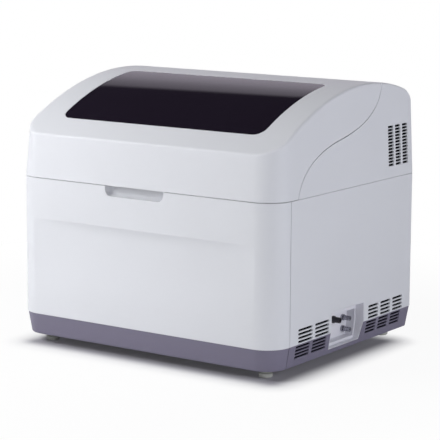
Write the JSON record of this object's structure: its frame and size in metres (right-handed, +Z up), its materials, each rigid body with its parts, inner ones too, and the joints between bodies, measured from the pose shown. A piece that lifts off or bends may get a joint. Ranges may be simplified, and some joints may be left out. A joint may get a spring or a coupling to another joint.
{
  "type": "benchtop chemistry analyzer",
  "caption": "Benchtop chemistry analyzer: moulded cabinet with a domed hinged lid and smoked window over a reagent carousel, reaction rotor, sampling probe and mixer.",
  "frame": {"origin": "centre of the footprint, on the bench surface under the four feet", "axes": "+X to the instrument's right as one faces its front, -Y towards the front, +Z up"},
  "size_m": [0.69, 0.57, 0.592],
  "materials": {
    "white_shell": "fine satin texture",
    "grey_skirt": "satin",
    "recess_plastic": "satin",
    "smoked_pane": "polished, tinted",
    "deck_plastic": "satin",
    "black_plastic": "satin",
    "bottle_plastic": "milky",
    "cuvette_plastic": "clear, seen as pale blue grey",
    "sheet_steel": "zinc plated sheet",
    "bright_steel": "turned and polished",
    "dark_metal": "dark anodised",
    "dark_rubber": "matt",
    "foot_rubber": "pale, slightly translucent"
  },
  "bodies": {
    "cabinet": {"base_pan": "sheet_steel", "foot_front_left": "foot_rubber", "foot_front_right": "foot_rubber", "foot_rear_left": "foot_rubber", "foot_rear_right": "foot_rubber", "frame_wall_left": "sheet_steel", "frame_wall_right": "sheet_steel", "side_panel_left": "white_shell", "side_panel_right": "white_shell", "side_skirt_left": "grey_skirt", "side_skirt_right": "grey_skirt", "front_skirt": "grey_skirt", "front_cover": "white_shell", "rear_cover": "white_shell", "rear_panel": "sheet_steel", "rear_bulkhead": "sheet_steel", "deck_plate": "deck_plastic", "hinge_bracket_left": "sheet_steel", "hinge_bracket_right": "sheet_steel", "hinge_pin_left": "bright_steel", "hinge_pin_right": "bright_steel", "connector_recess": "recess_plastic", "tube_connector_upper": "bright_steel", "tube_connector_lower": "bright_steel", "sensor_socket": "black_plastic", "reagent_tub": "deck_plastic", "reagent_belt": "dark_rubber", "reagent_motor": "dark_metal", "reaction_tub": "dark_metal", "reaction_motor": "dark_metal", "photometer_head": "black_plastic", "lamp_housing": "dark_metal", "probe_guide": "black_plastic", "mixer_guide": "black_plastic", "wash_well": "deck_plastic", "fan_frame": "black_plastic", "power_inlet": "black_plastic", "power_supply": "sheet_steel", "control_board": "deck_plastic", "syringe_pump": "deck_plastic"},
    "lid": {"lid_shell": "white_shell", "lid_window": "smoked_pane", "window_frame": "black_plastic", "lid_buffer_left": "dark_rubber", "lid_buffer_right": "dark_rubber", "hinge_leaf_left": "sheet_steel", "hinge_leaf_right": "sheet_steel"},
    "reagent_turntable": {"reagent_carousel": "bottle_plastic", "reagent_spindle": "dark_metal"},
    "motor_pulley": {"reagent_motor_pulley": "dark_metal"},
    "reaction_turntable": {"reaction_rotor": "cuvette_plastic"},
    "probe_lifter": {"probe_column": "bright_steel"},
    "probe_swinger": {"probe_arm": "white_shell", "probe_needle": "bright_steel"},
    "mixer_lifter": {"mixer_column": "bright_steel"},
    "mixer_swinger": {"mixer_arm": "white_shell"},
    "stirrer": {"mixer_paddle": "bright_steel"},
    "fan": {"fan_rotor": "black_plastic"},
    "mains_switch": {"power_rocker": "black_plastic"},
    "plunger": {"syringe_plunger": "bright_steel"}
  },
  "joints": [
    {"name": "lid_hinge", "type": "hinge", "parent": "cabinet", "child": "lid", "pos_m": [0, 0.139, 0.58032], "axis": [-1, 0, 0], "range_deg": [0, 65]},
    {"name": "reagent_spin", "type": "hinge", "parent": "cabinet", "child": "reagent_turntable", "pos_m": [-0.165, -0.06, 0.3], "axis": [0, 0, 1], "continuous": true},
    {"name": "motor_pulley_spin", "type": "hinge", "parent": "cabinet", "child": "motor_pulley", "pos_m": [-0.24844, 0.02344, 0.275], "axis": [0, 0, 1], "continuous": true},
    {"name": "reaction_spin", "type": "hinge", "parent": "cabinet", "child": "reaction_turntable", "pos_m": [0.15, -0.07, 0.38], "axis": [0, 0, 1], "continuous": true},
    {"name": "probe_lift", "type": "slide", "parent": "cabinet", "child": "probe_lifter", "axis": [0, 0, 1], "range_m": [-0.05, 0]},
    {"name": "probe_swing", "type": "hinge", "parent": "probe_lifter", "child": "probe_swinger", "pos_m": [-0.005, 0.062, 0.53], "axis": [0, 0, 1], "range_deg": [-67.3, 17.8]},
    {"name": "mixer_lift", "type": "slide", "parent": "cabinet", "child": "mixer_lifter", "axis": [0, 0, 1], "range_m": [-0.045, 0]},
    {"name": "mixer_swing", "type": "hinge", "parent": "mixer_lifter", "child": "mixer_swinger", "pos_m": [0.286, 0.062, 0.53], "axis": [0, 0, 1], "range_deg": [-20, 0]},
    {"name": "paddle_spin", "type": "hinge", "parent": "mixer_swinger", "child": "stirrer", "pos_m": [0.286, -0.0488, 0.5], "axis": [0, 0, 1], "continuous": true},
    {"name": "fan_spin", "type": "hinge", "parent": "cabinet", "child": "fan", "pos_m": [0.19, 0.266, 0.235], "axis": [0, 1, 0], "continuous": true},
    {"name": "mains_switch_rock", "type": "hinge", "parent": "cabinet", "child": "mains_switch", "pos_m": [-0.25, 0.28, 0.132], "axis": [1, 0, 0], "range_deg": [0, 14]},
    {"name": "plunger_stroke", "type": "slide", "parent": "cabinet", "child": "plunger", "axis": [0, 0, 1], "range_m": [0, 0.03]}
  ],
  "couplings": [
    {"joint": "motor_pulley_spin", "follows": "reagent_spin", "ratio": 4}
  ]
}
